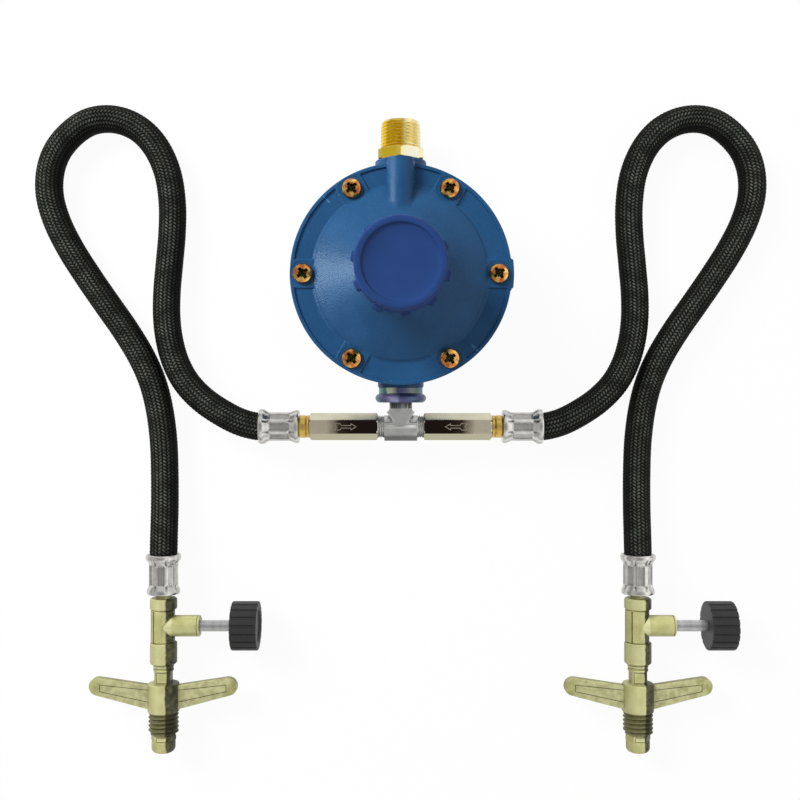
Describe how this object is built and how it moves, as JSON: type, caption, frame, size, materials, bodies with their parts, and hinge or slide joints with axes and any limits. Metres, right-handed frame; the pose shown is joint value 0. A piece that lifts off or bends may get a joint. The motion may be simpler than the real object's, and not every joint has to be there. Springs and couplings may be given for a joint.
{
  "type": "lpg regulator assembly",
  "caption": "Blue disc gas regulator with threaded outlet, a tee with check valves, braided hoses, and cylinder taps with wing nuts.",
  "frame": {"origin": "middle of the regulator's flat back face, on the diaphragm axis", "axes": "+Z along the diaphragm axis towards the cap, +Y out of the outlet, +X to the right seen from the cap side"},
  "size_m": [0.4, 0.3528, 0.088],
  "materials": {
    "blue_enamel": "blue satin enamel baked on die cast metal",
    "cap_plastic": "royal blue moulded plastic",
    "screw_zinc": "yellow passivated zinc",
    "seal_rubber": "black nitrile rubber",
    "spring_steel": "bright drawn steel",
    "adjuster_plastic": "dark moulded plastic",
    "outlet_brass": "bright machined brass",
    "zinc_plate": "iridescent yellow-green zinc plate",
    "tee_steel": "grey plated steel, forged skin",
    "check_nickel": "nickel plated brass bar",
    "tail_brass": "turned brass, slightly tarnished",
    "ferrule_steel": "bright zinc plated crimped steel",
    "hose_braid": "black hose with a fine braided cover",
    "tap_brass": "matt olive brass",
    "knob_plastic": "dark grey moulded plastic"
  },
  "bodies": {
    "root": {"lower_housing": "blue_enamel", "bonnet": "blue_enamel", "bonnet_screws": "screw_zinc", "diaphragm": "seal_rubber", "main_spring": "spring_steel", "vent_screen": "spring_steel", "lever_pin": "spring_steel", "inlet_seat": "outlet_brass", "outlet_nipple": "outlet_brass", "inlet_adapter": "zinc_plate", "tee": "tee_steel", "left_check_body": "check_nickel", "left_check_spring": "spring_steel", "left_inner_tail": "tail_brass", "left_inner_ferrule": "ferrule_steel", "left_hose": "hose_braid", "left_outer_ferrule": "ferrule_steel", "left_outer_tail": "tap_brass", "left_tap_body": "tap_brass", "left_tap_gland": "tap_brass", "left_tap_seal": "seal_rubber", "left_cylinder_nipple": "tap_brass", "right_check_body": "check_nickel", "right_check_spring": "spring_steel", "right_inner_tail": "tail_brass", "right_inner_ferrule": "ferrule_steel", "right_hose": "hose_braid", "right_outer_ferrule": "ferrule_steel", "right_outer_tail": "tap_brass", "right_tap_body": "tap_brass", "right_tap_gland": "tap_brass", "right_tap_seal": "seal_rubber", "right_cylinder_nipple": "tap_brass"},
    "diaphragm_group": {"diaphragm_plate": "spring_steel", "diaphragm_stem": "spring_steel", "relief_spring": "spring_steel", "relief_nut": "outlet_brass"},
    "lever": {"valve_lever": "spring_steel"},
    "plunger": {"valve_plunger": "outlet_brass", "plunger_pad": "seal_rubber"},
    "spring_seat": {"spring_button": "spring_steel"},
    "adjuster": {"adjusting_screw": "adjuster_plastic"},
    "cap_seal": {"cap_gasket": "seal_rubber"},
    "cap": {"adjuster_cap": "cap_plastic"},
    "left_poppet": {"left_check_poppet": "outlet_brass", "left_check_seal": "seal_rubber"},
    "left_needle": {"left_tap_needle": "spring_steel"},
    "left_spindle": {"left_tap_spindle": "spring_steel", "left_tap_knob": "knob_plastic"},
    "left_nut": {"left_wing_nut": "tap_brass"},
    "right_poppet": {"right_check_poppet": "outlet_brass", "right_check_seal": "seal_rubber"},
    "right_needle": {"right_tap_needle": "spring_steel"},
    "right_spindle": {"right_tap_spindle": "spring_steel", "right_tap_knob": "knob_plastic"},
    "right_nut": {"right_wing_nut": "tap_brass"}
  },
  "joints": [
    {"name": "diaphragm_lift", "type": "slide", "parent": "root", "child": "diaphragm_group", "axis": [0, 0, 1], "range_m": [0, 0.002], "stiffness_N_per_m": 1500, "springref_m": -0.002, "deforming": ["diaphragm", "main_spring"]},
    {"name": "lever_tilt", "type": "hinge", "parent": "root", "child": "lever", "pos_m": [0, -0.02, 0.008], "axis": [1, 0, 0], "range_deg": [0, 5.8]},
    {"name": "plunger_slide", "type": "slide", "parent": "root", "child": "plunger", "axis": [0, -1, 0], "range_m": [0, 0.00101]},
    {"name": "spring_seat_slide", "type": "slide", "parent": "root", "child": "spring_seat", "axis": [0, 0, 1], "range_m": [-0.004, 0.003], "deforming": ["main_spring"]},
    {"name": "adjuster_turn", "type": "hinge", "parent": "spring_seat", "child": "adjuster", "pos_m": [0, 0, 0.0625], "axis": [0, 0, 1], "range_deg": [-970, 730]},
    {"name": "cap_lift", "type": "slide", "parent": "root", "child": "cap_seal", "axis": [0, 0, 1], "range_m": [0, 0.012]},
    {"name": "cap_turn", "type": "hinge", "parent": "cap_seal", "child": "cap", "pos_m": [0, 0, 0.08], "axis": [0, 0, 1], "range_deg": [0, 2180]},
    {"name": "left_poppet_slide", "type": "slide", "parent": "root", "child": "left_poppet", "axis": [1, 0, 0], "range_m": [0, 0.002], "stiffness_N_per_m": 200, "springref_m": -0.004, "deforming": ["left_check_spring"]},
    {"name": "left_needle_lift", "type": "slide", "parent": "root", "child": "left_needle", "axis": [1, 0, 0], "range_m": [0, 0.002]},
    {"name": "left_tap_turn", "type": "hinge", "parent": "left_needle", "child": "left_spindle", "pos_m": [-0.1289, -0.1878, 0.0133], "axis": [1, 0, 0], "range_deg": [0, 730]},
    {"name": "left_nut_spin", "type": "hinge", "parent": "root", "child": "left_nut", "pos_m": [-0.1289, -0.2265, 0.0133], "axis": [0, -1, 0], "continuous": true},
    {"name": "right_poppet_slide", "type": "slide", "parent": "root", "child": "right_poppet", "axis": [-1, 0, 0], "range_m": [0, 0.002], "stiffness_N_per_m": 200, "springref_m": -0.004, "deforming": ["right_check_spring"]},
    {"name": "right_needle_lift", "type": "slide", "parent": "root", "child": "right_needle", "axis": [1, 0, 0], "range_m": [0, 0.002]},
    {"name": "right_tap_turn", "type": "hinge", "parent": "right_needle", "child": "right_spindle", "pos_m": [0.1289, -0.1878, 0.0133], "axis": [1, 0, 0], "range_deg": [0, 730]},
    {"name": "right_nut_spin", "type": "hinge", "parent": "root", "child": "right_nut", "pos_m": [0.1289, -0.2265, 0.0133], "axis": [0, -1, 0], "continuous": true}
  ],
  "couplings": [
    {"joint": "lever_tilt", "follows": "diaphragm_lift", "rad_per_m": 50},
    {"joint": "plunger_slide", "follows": "diaphragm_lift", "ratio": 0.5},
    {"joint": "adjuster_turn", "follows": "spring_seat_slide", "rad_per_m": 4188.8},
    {"joint": "cap_turn", "follows": "cap_lift", "rad_per_m": 3141.6},
    {"joint": "left_tap_turn", "follows": "left_needle_lift", "rad_per_m": 6283.2},
    {"joint": "right_tap_turn", "follows": "right_needle_lift", "rad_per_m": 6283.2}
  ]
}
